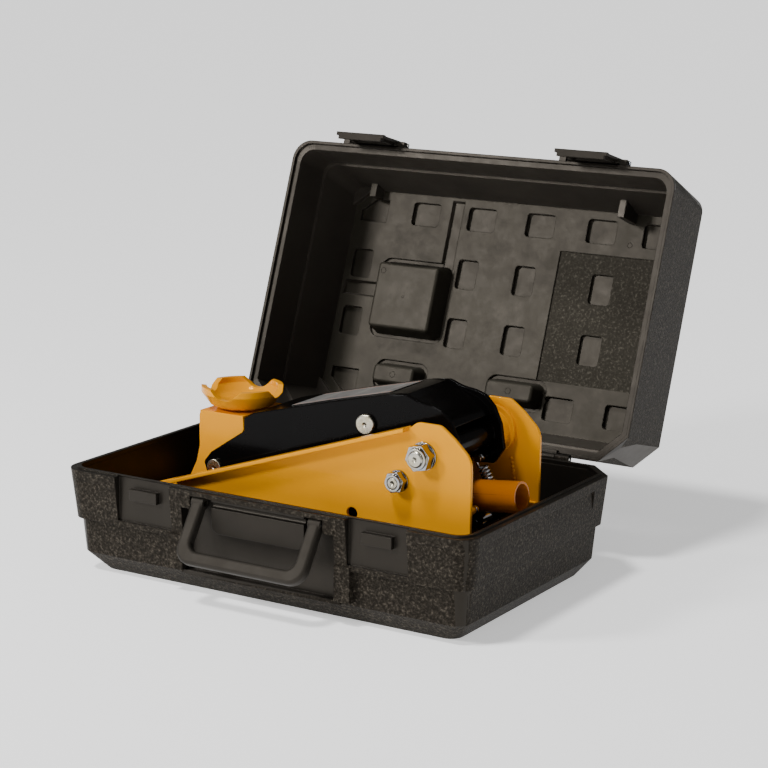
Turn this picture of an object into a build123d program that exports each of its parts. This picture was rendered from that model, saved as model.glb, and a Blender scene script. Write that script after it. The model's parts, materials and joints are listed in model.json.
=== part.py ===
"""Compact hydraulic trolley jack in a hinged carry case.

Frame, in millimetres: the origin is the centre of the case's underside, +X runs to the
right along the case, +Y to its hinge side and +Z up. Everything is drawn in the rest
pose: lid open, jack standing in the tray, lift arm down.
"""

import os
from math import atan2, cos, degrees, hypot, radians, sin, tan

from build123d import *

os.makedirs("parts", exist_ok=True)

# ---------------------------------------------------------------- case
CASE_L = 480.0            # outside length at the rim
CASE_D = 315.2            # outside depth at the rim
RIM_Z = 108.4             # top of the tray rim
BAND_Z = 56.4             # underside of the upper band
CHAMFER_Z = 19.9          # top of the bottom chamfer
BAND_DRAFT = 5.5
LEDGE = 4.3               # step from the upper band to the lower wall
WALL_DRAFT = 3.1
CHAMFER = 16.4
CORNER_R = 22.0
BACK_CUT = 30.0           # 45 degree cut on the two back corners
WALL = 5.0
RIM_W = 9.5

HINGE_Y = 161.5
HINGE_Z = 109.0
LID_TILT = 20.14          # lean of the open lid behind the vertical
LID_D = 118.0             # outside depth of the lid
LID_IN = 108.5            # depth of its inner panel
LID_S0 = 2.0              # first and last station of the lid, measured from the hinge
LID_S1 = 317.0
LID_GAP = 0.3
BARREL_R = 4.2            # hinge knuckles
PIN_R = 1.6
HINGE_X = 150.0

LATCH_X = 138.0
LATCH_W = 62.0
LATCH_L = 37.2            # length of the latch leaf below its pin
LATCH_S = 322.0           # latch pin in lid stations
LATCH_DEPTH = 10.0
LATCH_OUT = -5.0          # rest angle of the leaf, against hanging straight down from a shut lid

GRIP_X = 69.0             # carry handle arms
GRIP_Y = -152.0
GRIP_Z = 97.0
GRIP_DROP = 48.0
GRIP_OUT = 31.0

TUBE_LOW_Y = 98.0         # stored handle tubes
TUBE_LOW_Z = 27.0
TUBE_UP_Y = 125.4
TUBE_UP_Z = 48.0

# ---------------------------------------------------------------- jack
YC = -20.0                # centre plane of the jack
GROUND = 40.0             # height of the tray pads the wheels stand on
PLATE_OUT = 71.0          # half width over the side plates
PLATE_T = 4.0
WEB_OUT = 45.0            # half width over the lift arm
WEB_T = 5.0
A = (151.0, 163.0)        # main shaft (X, Z)
B = (-113.0, 108.0)       # lift arm to saddle bracket
C = (123.5, 134.5)        # anchor of the levelling links
D = (B[0] + C[0] - A[0], B[1] + C[1] - A[1])
P = (70.0, 178.0)         # ram pin in the lift arm
SHAFT_R = 8.0
LINK_Y = 50.0             # inner face of each link, from the centre plane
LINK_T = 5.0
ANCHOR_R = 6.0
ARM_SWING = 48.0
SADDLE_X = -111.0
SADDLE_Z = 163.0          # top of the saddle bracket
SADDLE_R = 44.0
WHEEL_X = -172.0
WHEEL_R = 25.0
AXLE_Z = GROUND + WHEEL_R + 0.3
CASTER_X = 178.0
CASTER_Y = 50.0           # from the jack's centre plane
CASTER_R = 19.0
CASTER_TRAIL = 10.0
CROSS_Z = 88.0            # underside of the rear cross plate
F = (158.0, 98.0)         # handle socket fulcrum
SOCKET_TILT = 6.3
SOCKET_R = 16.0
SOCKET_BORE = 13.2
SOCKET_END = (220.0, 116.2)
PUMP_X = 178.0
ROLLER_Z = 88.7
ROLLER_R = 5.0
S = (158.0, 142.0)        # return spring hanger in the arm
T = (180.0, 103.0)        # return spring stud on the side plates
SPRING_DY = 24.0
SPRING_R = 6.0
BLOCK_Z0 = 58.0
BLOCK_Z1 = 80.0
TAIL_Z0 = 47.0
VALVE_Z = 64.0
FIT = 0.05                # radial clearance of pins in their holes

# The ram pushes along the chord of the ram pin's path.
ram_r = hypot(P[0] - A[0], P[1] - A[1])
ram_a0 = degrees(atan2(P[1] - A[1], P[0] - A[0]))
ram_a1 = ram_a0 - ARM_SWING
P_UP = (A[0] + ram_r * cos(radians(ram_a1)), A[1] + ram_r * sin(radians(ram_a1)))
RAM_STROKE = hypot(P_UP[0] - P[0], P_UP[1] - P[1])
RAM_DIR = ((P_UP[0] - P[0]) / RAM_STROKE, (P_UP[1] - P[1]) / RAM_STROKE)
RAM_PIN_R = 8.0
RAM_ROLLER_R = 14.0
RAM_GAP = 0.8

lid_c = cos(radians(LID_TILT))
lid_s = sin(radians(LID_TILT))
# Rim plane of the open lid; local axes are X and minus the station from the hinge.
LID = Plane(origin=(0, HINGE_Y, HINGE_Z), x_dir=(1, 0, 0), z_dir=(0, lid_c, -lid_s))


# ---------------------------------------------------------------- helpers
def xz(y):
    """Vertical plane along the jack, facing -Y; local axes are X and Z."""
    return Plane(origin=(0, y, 0), x_dir=(1, 0, 0), z_dir=(0, -1, 0))


def yz(x):
    """Vertical plane across the jack, facing +X; local axes are Y and Z."""
    return Plane(origin=(x, 0, 0), x_dir=(0, 1, 0), z_dir=(1, 0, 0))


def slab(points, plane, amount, round_by=0.0, mode=Mode.ADD):
    """Extrude a closed outline; every corner is rounded by the same radius."""
    with BuildSketch(plane) as outline:
        with BuildLine():
            Polyline(*points, close=True)
        make_face()
        if round_by:
            fillet(outline.vertices(), round_by)
    extrude(outline.sketch, amount=amount, mode=mode)


def box(x0, x1, y0, y1, z0, z1, mode=Mode.ADD):
    """Axis-aligned block from its limits."""
    with Locations(((x0 + x1) / 2, (y0 + y1) / 2, (z0 + z1) / 2)):
        Box(x1 - x0, y1 - y0, z1 - z0, mode=mode)


def lid_prism(corners, d0, d1, taper=0, mode=Mode.ADD):
    """Prism in the lid's own directions, from corners given as X and station."""
    with BuildSketch(LID.offset(d0)) as face:
        with BuildLine():
            Polyline(*((x, -s) for x, s in corners), close=True)
        make_face()
    extrude(face.sketch, amount=d1 - d0, taper=taper, mode=mode)


def lid_box(x0, x1, s0, s1, d0, d1, mode=Mode.ADD):
    """Block in the lid's own directions: X, station from the hinge and depth."""
    with BuildSketch(LID.offset(d0)) as face:
        with Locations(((x0 + x1) / 2, -(s0 + s1) / 2)):
            Rectangle(x1 - x0, s1 - s0)
    extrude(face.sketch, amount=d1 - d0, mode=mode)


def rod_y(at, radius, y0, y1, mode=Mode.ADD):
    """Round bar across the jack at (X, Z), between two Y values."""
    with Locations(Plane(origin=(at[0], y1, at[1]), x_dir=(1, 0, 0), z_dir=(0, -1, 0))):
        Cylinder(radius, y1 - y0, align=(Align.CENTER, Align.CENTER, Align.MIN), mode=mode)


def rod_x(y, z, radius, x0, x1, mode=Mode.ADD):
    """Round bar along X."""
    with Locations(Plane(origin=(x0, y, z), x_dir=(0, 1, 0), z_dir=(1, 0, 0))):
        Cylinder(radius, x1 - x0, align=(Align.CENTER, Align.CENTER, Align.MIN), mode=mode)


def rod_z(x, y, radius, z0, z1, mode=Mode.ADD):
    """Upright round bar."""
    with Locations((x, y, z0)):
        Cylinder(radius, z1 - z0, align=(Align.CENTER, Align.CENTER, Align.MIN), mode=mode)


def cone_z(x, y, r0, r1, z0, z1, mode=Mode.ADD):
    """Upright cone frustum."""
    with Locations((x, y, z0)):
        Cone(r0, r1, z1 - z0, align=(Align.CENTER, Align.CENTER, Align.MIN), mode=mode)


def hex_y(at, across_flats, y0, y1, turn=0.0, mode=Mode.ADD):
    """Hexagon prism across the jack at (X, Z)."""
    with BuildSketch(xz(y1)) as face:
        with Locations(at):
            RegularPolygon(across_flats / 2, 6, major_radius=False, rotation=turn)
    extrude(face.sketch, amount=y1 - y0, mode=mode)


def save(builder, name):
    """Label a finished part and write its STEP file."""
    builder.part.label = name
    export_step(builder.part, f"parts/{name}.step")


def both_sides(offset_in, offset_out):
    """The two Y intervals that mirror each other about the jack's centre plane."""
    return ((YC - offset_out, YC - offset_in), (YC + offset_in, YC + offset_out))


def shell_outline(plane, width, depth, inset, centre=0.0):
    """Case outline: two rounded front corners and two cut back corners."""
    x = width / 2 - inset
    front = centre - depth / 2 + inset
    back = centre + depth / 2 - inset
    r = CORNER_R - min(inset, 14.0) * 0.6
    cut = BACK_CUT - inset * 0.58
    with BuildSketch(plane) as plan:
        with BuildLine():
            Line((-x + r, front), (x - r, front))
            CenterArc((x - r, front + r), r, -90, 90)
            Polyline((x, front + r), (x, back - cut), (x - cut, back), (-x + cut, back),
                     (-x, back - cut), (-x, front + r))
            CenterArc((-x + r, front + r), r, 180, 90)
        make_face()
    return plan.sketch


# ---------------------------------------------------------------- tray
def tray_outline(inset, z):
    """Plan of the tray at one height, inset from the rim outline."""
    return shell_outline(Plane.XY.offset(z), CASE_L, CASE_D, inset)


with BuildPart() as case_base:
    loft([tray_outline(BAND_DRAFT, BAND_Z), tray_outline(0, RIM_Z)])
    low = BAND_DRAFT + LEDGE
    loft([tray_outline(low + WALL_DRAFT, CHAMFER_Z), tray_outline(low, BAND_Z)])
    foot = low + WALL_DRAFT + CHAMFER
    loft([tray_outline(foot, 0), tray_outline(low + WALL_DRAFT, CHAMFER_Z)])
    # Hollow of the tray
    inner = low + WALL_DRAFT + WALL
    loft([tray_outline(inner, 23), tray_outline(RIM_W, RIM_Z)], mode=Mode.SUBTRACT)
    loft([tray_outline(foot + 2, WALL), tray_outline(inner, 23)], mode=Mode.SUBTRACT)
    # Lip that enters the lid's groove
    extrude(tray_outline(6.0, RIM_Z - 2), amount=3.8)
    extrude(tray_outline(RIM_W, RIM_Z - 3), amount=8, mode=Mode.SUBTRACT)
    # Pads under the wheels and the casters
    for side in (-1, 1):
        y = YC + side * (PLATE_OUT + 12.5)
        box(WHEEL_X - 16, WHEEL_X + 16, y - 14, y + 14, 2, GROUND)
        y = YC + side * CASTER_Y
        box(CASTER_X - 30, CASTER_X + 30, y - 16, y + 16, 2, GROUND)
    # Cradle ribs for the two handle tubes
    for x in (-125.0, 0.0, 85.0):
        box(x - 4, x + 4, 82, 141, 4, 44)
        for y, z in ((TUBE_LOW_Y, TUBE_LOW_Z), (TUBE_UP_Y, TUBE_UP_Z)):
            rod_x(y, z, 13, x - 6, x + 6, mode=Mode.SUBTRACT)
            box(x - 6, x + 6, y - 13, y + 13, z, z + 30, mode=Mode.SUBTRACT)
    # Stiffening beads in the floor
    for x in (-90.0, -30.0, 30.0, 90.0):
        box(x - 5, x + 5, -112, 60, 4, 9)
    # Recess behind the carry handle with its two pillars and centre panel
    box(-94, 94, -150, -134, 19.9, RIM_Z - 3)
    box(-90, 90, -160, -143, 24, RIM_Z - 5, mode=Mode.SUBTRACT)
    box(-94, 94, -134.5, -120, 19.9, RIM_Z + 1, mode=Mode.SUBTRACT)
    slab(((-55, 68), (55, 68), (55, RIM_Z - 4), (-55, RIM_Z - 4)), xz(-142), 11, round_by=9)
    box(-55, 55, -153, -142, RIM_Z - 16, RIM_Z - 4)
    for side in (-1, 1):
        box(side * 99 - 9, side * 99 + 9, -154.5, -142, 24, 60)
        # Ears that carry the handle pins
        box(side * 84.5 - 6, side * 84.5 + 6, -156.5, -142, 90, RIM_Z - 4)
        # Latch recess and its catch
        box(side * LATCH_X - 34, side * LATCH_X + 34, -160, -149, 62, RIM_Z + 1, mode=Mode.SUBTRACT)
        box(side * LATCH_X - 34, side * LATCH_X + 34, -149.5, -143, 56.4, RIM_Z)
        box(side * LATCH_X - 17, side * LATCH_X + 17, -155.5, -148, 86.5, 98)
        # Corner blocks are relieved by a shallow panel
        box(side * 204 - 22, side * 204 + 22, -158, -155.8, 66, 98, mode=Mode.SUBTRACT)
    # Side wall panels
    for side in (-1, 1):
        box(side * 239 - 2.2, side * 239 + 2.2, -110, 100, 66, 98, mode=Mode.SUBTRACT)
    # Hinge: two outer knuckles per station, one space between them
    for side in (-1, 1):
        x = side * HINGE_X
        for dx in (-20.5, 20.5):
            rod_x(HINGE_Y, HINGE_Z, BARREL_R, x + dx - 8, x + dx + 8)
            box(x + dx - 8, x + dx + 8, 152, HINGE_Y, 99, HINGE_Z - 1)
        rod_x(HINGE_Y, HINGE_Z, BARREL_R + 1.2, x - 12.5, x + 12.5, mode=Mode.SUBTRACT)
        box(x - 12.5, x + 12.5, 156, 170, 103, 112, mode=Mode.SUBTRACT)
        rod_x(HINGE_Y, HINGE_Z, PIN_R + FIT, x - 30, x + 30, mode=Mode.SUBTRACT)
    # Handle pin holes
    rod_x(GRIP_Y, GRIP_Z, 3 + FIT, -88, 88, mode=Mode.SUBTRACT)
save(case_base, "case_base")

with BuildPart() as hinge_pins:
    for side in (-1, 1):
        rod_x(HINGE_Y, HINGE_Z, PIN_R, side * HINGE_X - 28.4, side * HINGE_X + 28.4)
save(hinge_pins, "hinge_pins")


# ---------------------------------------------------------------- lid
def lid_outline(inset, depth):
    """Outline of the lid at one depth behind its rim plane."""
    return shell_outline(LID.offset(depth), CASE_L, LID_S1 - LID_S0, inset, -(LID_S0 + LID_S1) / 2)


# Shallow pockets of the inner panel, as (X, station): wide ones near the edges, tall ones between
WIDE_POCKETS = ((-114, 264), (-40, 264), (36, 264), (113, 264), (182, 264), (100, 60), (175, 60))
# The two corner pockets have one corner cut off
CUT_POCKETS = (((-202, 250), (-166, 250), (-166, 277), (-184, 277), (-202, 262)),
               ((-200, 62), (-183, 47), (-164, 47), (-164, 74), (-200, 74)))
TALL_POCKETS = ((-188, 199), (-46, 199), (28, 199), (124, 199),
                (-188, 130), (-46, 130), (28, 130), (124, 130))
# Hold-down blocks of the lid: X limits, station limits and height
LID_BLOCKS = ((-156, -66, 119, 205, 22), (-138, -76, 57, 86, 18), (10, 78, 57, 86, 18))


def hold_down_block(x0, x1, s0, s1, rise):
    """Tapered block with rounded corners that stands on the lid's inner panel."""
    with BuildPart() as block:
        with BuildSketch(LID.offset(LID_IN + 4)) as foot_face:
            with Locations(((x0 + x1) / 2, -(s0 + s1) / 2)):
                RectangleRounded(x1 - x0, s1 - s0, 9)
        extrude(foot_face.sketch, amount=-(rise + 4), taper=12)
        top = block.faces().sort_by(Axis(LID.origin, LID.z_dir))[0]
        fillet(top.edges(), 3.5)
    return block.part


with BuildPart() as case_lid:
    loft([lid_outline(0, LID_GAP), lid_outline(7, 98)])
    loft([lid_outline(7, 98), lid_outline(25, LID_D)])
    loft([lid_outline(RIM_W, LID_GAP), lid_outline(13, 50)], mode=Mode.SUBTRACT)
    # The wall steps inwards here, which leaves a narrow ledge all the way round
    loft([lid_outline(16, 50), lid_outline(30, LID_IN)], mode=Mode.SUBTRACT)
    # Groove of the rim, over the tray's lip
    loft([lid_outline(3.3, 0), lid_outline(3.5, 3.6)], mode=Mode.SUBTRACT)
    # Recessed field, pockets and ribs of the inner panel
    lid_box(67, 187, 90, 238, LID_IN - 1, LID_IN + 1.5, mode=Mode.SUBTRACT)
    for stations, w, h in ((WIDE_POCKETS, 36, 27), (TALL_POCKETS, 26, 34)):
        for x, s in stations:
            with BuildSketch(LID.offset(LID_IN - 1)) as pocket:
                with Locations((x, -s)):
                    RectangleRounded(w, h, 4)
            extrude(pocket.sketch, amount=6, mode=Mode.SUBTRACT)
    for corners in CUT_POCKETS:
        lid_prism(corners, LID_IN - 1, LID_IN + 5, mode=Mode.SUBTRACT)
    # Channels that run from the walls to the large hold-down block
    lid_prism(((-82, 200), (-65, 200), (-65, 284), (-82, 284)), LID_IN - 1, LID_IN + 4, 28, Mode.SUBTRACT)
    lid_prism(((-207, 160), (-150, 160), (-150, 179), (-207, 179)), LID_IN - 1, LID_IN + 4, 28, Mode.SUBTRACT)
    # Raised corners beside the cut pockets
    lid_prism(((-214, 264), (-189, 285), (-189, 292), (-214, 292)), LID_IN - 7, LID_IN + 1)
    lid_prism(((-214, 60), (-188, 37), (-188, 28), (-214, 28)), LID_IN - 7, LID_IN + 1)
    for x0, x1, s0, s1, rise in LID_BLOCKS:
        # A shallow moat runs round the foot of each block
        with BuildSketch(LID.offset(LID_IN - 1)) as moat:
            with Locations(((x0 + x1) / 2, -(s0 + s1) / 2)):
                RectangleRounded(x1 - x0 + 8, s1 - s0 + 8, 12)
        extrude(moat.sketch, amount=4, mode=Mode.SUBTRACT)
        add(hold_down_block(x0, x1, s0, s1, rise))
    # Corner gussets of the inner walls
    for x, depth in ((149.0, 74), (-180.0, 90)):
        lid_box(x - 4, x + 4, 276, 298, depth, LID_IN + 1)
    # Outside panel of the lid
    lid_box(-170, 170, 60, 260, LID_D - 1.5, LID_D + 1, mode=Mode.SUBTRACT)
    # Hinge: one knuckle per station, with room for the tray's knuckles
    for side in (-1, 1):
        x = side * HINGE_X
        for dx in (-20.5, 20.5):
            rod_x(HINGE_Y, HINGE_Z, BARREL_R + 1.2, x + dx - 8.5, x + dx + 8.5, mode=Mode.SUBTRACT)
        rod_x(HINGE_Y, HINGE_Z, BARREL_R, x - 12, x + 12)
        lid_box(x - 12, x + 12, 0, 8, 1, 9)
        rod_x(HINGE_Y, HINGE_Z, PIN_R + FIT, x - 30, x + 30, mode=Mode.SUBTRACT)
        # Latch ears on the far edge
        for dx in (-LATCH_W / 2 - 5, LATCH_W / 2 + 5):
            lid_box(side * LATCH_X + dx - 4.2, side * LATCH_X + dx + 4.2, 312, 324.6, 4.5, 15.5)
    # Holes for the latch pins
    latch_y = HINGE_Y + LATCH_S * lid_s + LATCH_DEPTH * lid_c
    latch_z = HINGE_Z + LATCH_S * lid_c - LATCH_DEPTH * lid_s
    for side in (-1, 1):
        x = side * LATCH_X
        rod_x(latch_y, latch_z, 1.5 + FIT, x - 44, x + 44, mode=Mode.SUBTRACT)
save(case_lid, "case_lid")

with BuildPart() as latch_pins:
    for side in (-1, 1):
        rod_x(latch_y, latch_z, 1.5, side * LATCH_X - 41.5, side * LATCH_X + 41.5)
save(latch_pins, "latch_pins")

# The latch is drawn in its latched attitude and turned outwards about its pin.
for side, name in ((-1, "latch_left"), (1, "latch_right")):
    with BuildPart() as latch:
        x = side * LATCH_X
        half = LATCH_W / 2
        rod_x(0, 0, 4.2, x - half, x + half)
        box(x - half, x + half, -4.2, -1.0, -LATCH_L, 0)
        box(x - half, x + half, -5.0, -3.5, -LATCH_L, -LATCH_L + 5)
        box(x - 28, x + 28, -1.5, 3.0, -LATCH_L, -LATCH_L + 3.4)
        for dx in (-24, 24):
            box(x + dx - 2, x + dx + 2, -1.2, 1.2, -LATCH_L + 2, -4)
        box(x - 12, x + 12, -5.2, -3.6, -28, -8, mode=Mode.SUBTRACT)
        rod_x(0, 0, 1.5 + FIT, x - 40, x + 40, mode=Mode.SUBTRACT)
    turn = 110.14 + LATCH_OUT
    latch_solid = latch.part.rotate(Axis.X, -turn)
    with BuildPart() as placed_latch:
        add(latch_solid.moved(Location((0, latch_y, latch_z))))
    save(placed_latch, name)

# ---------------------------------------------------------------- carry handle
GRIP_ROUND = 4.0
with BuildPart() as carry_handle:
    arm_len = hypot(GRIP_DROP, GRIP_OUT)
    tilt = degrees(atan2(GRIP_OUT, GRIP_DROP))
    hang = Plane(origin=(0, GRIP_Y, GRIP_Z), x_dir=(1, 0, 0),
                 z_dir=(0, -cos(radians(tilt)), sin(radians(tilt))))
    with BuildSketch(hang.offset(-6)) as loop_face:
        with Locations((0, (23 - arm_len) / 2)):
            RectangleRounded(2 * GRIP_X + 14, arm_len + 37, 18)
        with Locations((0, (47 - arm_len) / 2)):
            RectangleRounded(2 * GRIP_X - 14, arm_len + 33, 10, mode=Mode.SUBTRACT)
        with Locations((0, 30)):
            Rectangle(2 * GRIP_X + 40, 60, mode=Mode.SUBTRACT)
    extrude(loop_face.sketch, amount=12)
    broad = carry_handle.faces().sort_by(Axis((0, GRIP_Y, GRIP_Z), hang.z_dir))
    fillet(broad[0].edges() + broad[-1].edges(), GRIP_ROUND)
    for side in (-1, 1):
        rod_x(GRIP_Y, GRIP_Z, 6, side * GRIP_X - 7, side * GRIP_X + 7)
    rod_x(GRIP_Y, GRIP_Z, 3 + FIT, -80, 80, mode=Mode.SUBTRACT)
save(carry_handle, "carry_handle")

with BuildPart() as handle_pins:
    for side in (-1, 1):
        inner_end, outer_end = sorted((side * 62.5, side * 87.9))
        rod_x(GRIP_Y, GRIP_Z, 3, inner_end, outer_end)
save(handle_pins, "handle_pins")

# ---------------------------------------------------------------- handle tubes
with BuildPart() as handle_lower_tube:
    rod_x(TUBE_LOW_Y, TUBE_LOW_Z, 12.5, -205, 205)
    rod_x(TUBE_LOW_Y, TUBE_LOW_Z, 10.6, -206, 206, mode=Mode.SUBTRACT)
    # Holes for the joining screw and the spring button
    with Locations(Plane(origin=(190, TUBE_LOW_Y, TUBE_LOW_Z))):
        Cylinder(3.2, 40, mode=Mode.SUBTRACT)
save(handle_lower_tube, "handle_lower_tube")

with BuildPart() as handle_upper_tube:
    rod_x(TUBE_UP_Y, TUBE_UP_Z, 12.5, -150, 196)
    rod_x(TUBE_UP_Y, TUBE_UP_Z, 10.2, -205, -150)
    rod_x(TUBE_UP_Y, TUBE_UP_Z, 8.4, -211, 206, mode=Mode.SUBTRACT)
    with Locations(Plane(origin=(-190, TUBE_UP_Y, TUBE_UP_Z))):
        Cylinder(3.2, 40, mode=Mode.SUBTRACT)
save(handle_upper_tube, "handle_upper_tube")

with BuildPart() as handle_grip:
    rod_x(TUBE_UP_Y, TUBE_UP_Z, 14.2, 92, 198)
    for x in range(98, 192, 8):
        rod_x(TUBE_UP_Y, TUBE_UP_Z, 15, x, x + 2.5, mode=Mode.SUBTRACT)
        rod_x(TUBE_UP_Y, TUBE_UP_Z, 13.6, x, x + 2.5)
    rod_x(TUBE_UP_Y, TUBE_UP_Z, 12.5, 90, 196, mode=Mode.SUBTRACT)
save(handle_grip, "handle_grip")

# ---------------------------------------------------------------- side plates
FLANGE_SLOPE = 0.332
FLANGE_TOP = (134.0, 190.0)
PLATE_FRONT_X = -190.0
FLANGE_LOW_X = -145.0
flange_low_z = FLANGE_TOP[1] + FLANGE_SLOPE * (FLANGE_LOW_X - FLANGE_TOP[0])
plate_front_z = FLANGE_TOP[1] + FLANGE_SLOPE * (PLATE_FRONT_X - FLANGE_TOP[0])
PLATE_LINE = (
    (PLATE_FRONT_X, 56), (-150, 54), (-60, 60), (125, 60), (139, 87), (203, 87), (203, 166),
    (184, 184), (169, 195), (143, 195), (135, 188.5), FLANGE_TOP, (PLATE_FRONT_X, plate_front_z),
)
plate_sides = both_sides(PLATE_OUT - PLATE_T, PLATE_OUT)
for (y0, y1), outward, name in ((plate_sides[0], -1, "side_plate_near"),
                                (plate_sides[1], 1, "side_plate_far")):
    with BuildPart() as side_plate:
        slab(PLATE_LINE, xz(y1), y1 - y0)
        soft = [e for e in side_plate.edges().filter_by(Axis.Y)
                if e.center().X > 140 and e.center().Z > 160]
        fillet([e for e in soft if e.center().X > 195], 22)
        soft = [e for e in side_plate.edges().filter_by(Axis.Y)
                if 140 < e.center().X < 190 and e.center().Z > 183]
        fillet(soft, 11)
        # Outward flange along the sloping top edge
        y_out = YC + outward * PLATE_OUT
        f0, f1 = sorted((y_out, y_out + outward * 11))
        tip = FLANGE_TOP
        slope_drop = PLATE_T * hypot(1, FLANGE_SLOPE)
        slab(((FLANGE_LOW_X, flange_low_z), tip, (tip[0], tip[1] - slope_drop),
              (FLANGE_LOW_X, flange_low_z - slope_drop)), xz(f1), f1 - f0)
        rod_y(A, SHAFT_R + FIT, y0 - 1, y1 + 1, mode=Mode.SUBTRACT)
        rod_y(C, ANCHOR_R + FIT, y0 - 1, y1 + 1, mode=Mode.SUBTRACT)
        rod_y((WHEEL_X, AXLE_Z), 6 + FIT, y0 - 1, y1 + 1, mode=Mode.SUBTRACT)
        rod_y((70.0, 93.5), 6, y0 - 1, y1 + 1, mode=Mode.SUBTRACT)
        rod_y((0.0, 69.0), 4 + FIT, y0 - 1, y1 + 1, mode=Mode.SUBTRACT)
        rod_y((110.0, 69.0), 4 + FIT, y0 - 1, y1 + 1, mode=Mode.SUBTRACT)
        # Grooved stud for one return spring
        for r, near, far in ((4, SPRING_DY + 2, PLATE_OUT - PLATE_T), (2.6, SPRING_DY - 2, SPRING_DY + 2),
                             (4, SPRING_DY - 4, SPRING_DY - 2)):
            s0, s1 = sorted((YC + outward * near, YC + outward * far))
            rod_y(T, r, s0, s1)
    save(side_plate, name)

with BuildPart() as pivot_rings:
    for side in (-1, 1):
        faces = sorted((YC + side * (WEB_OUT + 1.2), YC + side * (PLATE_OUT - PLATE_T)))
        near_plate = YC + side * (PLATE_OUT - PLATE_T)
        step = sorted((near_plate, near_plate - side * 5))
        rod_y(A, 20, faces[0], faces[1])
        rod_y(A, 25, step[0], step[1])
        rod_y(A, SHAFT_R + FIT, faces[0] - 1, faces[1] + 1, mode=Mode.SUBTRACT)
save(pivot_rings, "pivot_rings")

# ---------------------------------------------------------------- shafts and nuts
with BuildPart() as main_shaft:
    rod_y(A, SHAFT_R, YC - PLATE_OUT - 18, YC + PLATE_OUT + 18)
    chamfer(main_shaft.edges().filter_by(GeomType.CIRCLE), 1.2)
save(main_shaft, "main_shaft")

with BuildPart() as link_anchors:
    for y0, y1 in both_sides(LINK_Y - 1, PLATE_OUT + 13):
        rod_y(C, ANCHOR_R, y0, y1)
    chamfer(link_anchors.edges().filter_by(GeomType.CIRCLE), 1.0)
    for side in (-1, 1):
        # Thin head inside the link and a spacer between the link and the side plate
        head = sorted((YC + side * (LINK_Y - 3.4), YC + side * (LINK_Y - 0.4)))
        hex_y(C, 19, head[0], head[1], turn=10)
        spacer = sorted((YC + side * (LINK_Y + LINK_T + 0.4), YC + side * (PLATE_OUT - PLATE_T)))
        rod_y(C, 9, spacer[0], spacer[1])
save(link_anchors, "link_anchors")


def lock_nuts(at, hole_r, flats, height, washer_r):
    """A washer and a nylon-insert nut on both side plates."""
    for side in (-1, 1):
        base = YC + side * PLATE_OUT
        washer = sorted((base, base + side * 2))
        body = sorted((base + side * 2, base + side * (2 + height)))
        collar = sorted((base + side * (2 + height), base + side * (5 + height)))
        rod_y(at, washer_r, washer[0], washer[1])
        hex_y(at, flats, body[0], body[1], turn=12)
        rod_y(at, flats * 0.44, collar[0], collar[1])
        rod_y(at, hole_r, base - 10, base + 10, mode=Mode.SUBTRACT)
        rod_y(at, hole_r, base - 20, base + 20, mode=Mode.SUBTRACT)


with BuildPart() as main_nuts:
    lock_nuts(A, SHAFT_R, 24, 11, 14)
save(main_nuts, "main_nuts")

with BuildPart() as link_nuts:
    lock_nuts(C, ANCHOR_R, 19, 8, 11)
save(link_nuts, "link_nuts")

# ---------------------------------------------------------------- wheels
HUB_IN = 1.0
TREAD = 23.0
with BuildPart() as front_axle:
    rod_y((WHEEL_X, AXLE_Z), 6, YC - PLATE_OUT - TREAD - 6, YC + PLATE_OUT + TREAD + 6)
    for side in (-1, 1):
        groove = YC + side * (PLATE_OUT + HUB_IN + TREAD + 1.2)
        g0, g1 = sorted((groove, groove + side * 1.2))
        rod_y((WHEEL_X, AXLE_Z), 7, g0, g1, mode=Mode.SUBTRACT)
        rod_y((WHEEL_X, AXLE_Z), 4.8, g0, g1)
save(front_axle, "front_axle")

with BuildPart() as front_cross_tube:
    rod_y((WHEEL_X, AXLE_Z), 9, YC - PLATE_OUT + PLATE_T, YC + PLATE_OUT - PLATE_T)
    rod_y((WHEEL_X, AXLE_Z), 6 + FIT, YC - 80, YC + 80, mode=Mode.SUBTRACT)
save(front_cross_tube, "front_cross_tube")

with BuildPart() as axle_clips:
    for side in (-1, 1):
        groove = YC + side * (PLATE_OUT + HUB_IN + TREAD + 1.2)
        g0, g1 = sorted((groove, groove + side * 1.2))
        rod_y((WHEEL_X, AXLE_Z), 10, g0, g1)
        rod_y((WHEEL_X, AXLE_Z), 4.8, g0 - 1, g1 + 1, mode=Mode.SUBTRACT)
        box(WHEEL_X - 2.4, WHEEL_X + 2.4, g0, g1, AXLE_Z - 11, AXLE_Z - 2, mode=Mode.SUBTRACT)
save(axle_clips, "axle_clips")

for side, name in ((-1, "front_wheel_near"), (1, "front_wheel_far")):
    w0, w1 = sorted((YC + side * (PLATE_OUT + HUB_IN), YC + side * (PLATE_OUT + HUB_IN + TREAD)))
    with BuildPart() as wheel:
        rod_y((WHEEL_X, AXLE_Z), WHEEL_R, w0 + 1.5, w1 - 1.5)
        chamfer(wheel.edges().filter_by(GeomType.CIRCLE), 2)
        rod_y((WHEEL_X, AXLE_Z), 12, w0, w1)
        for y in (w0 + 1.5, w1 - 5.5):
            rod_y((WHEEL_X, AXLE_Z), 22, y, y + 4, mode=Mode.SUBTRACT)
            rod_y((WHEEL_X, AXLE_Z), 12, y, y + 4)
        rod_y((WHEEL_X, AXLE_Z), 6.3, w0 - 1, w1 + 1, mode=Mode.SUBTRACT)
    save(wheel, name)

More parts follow.
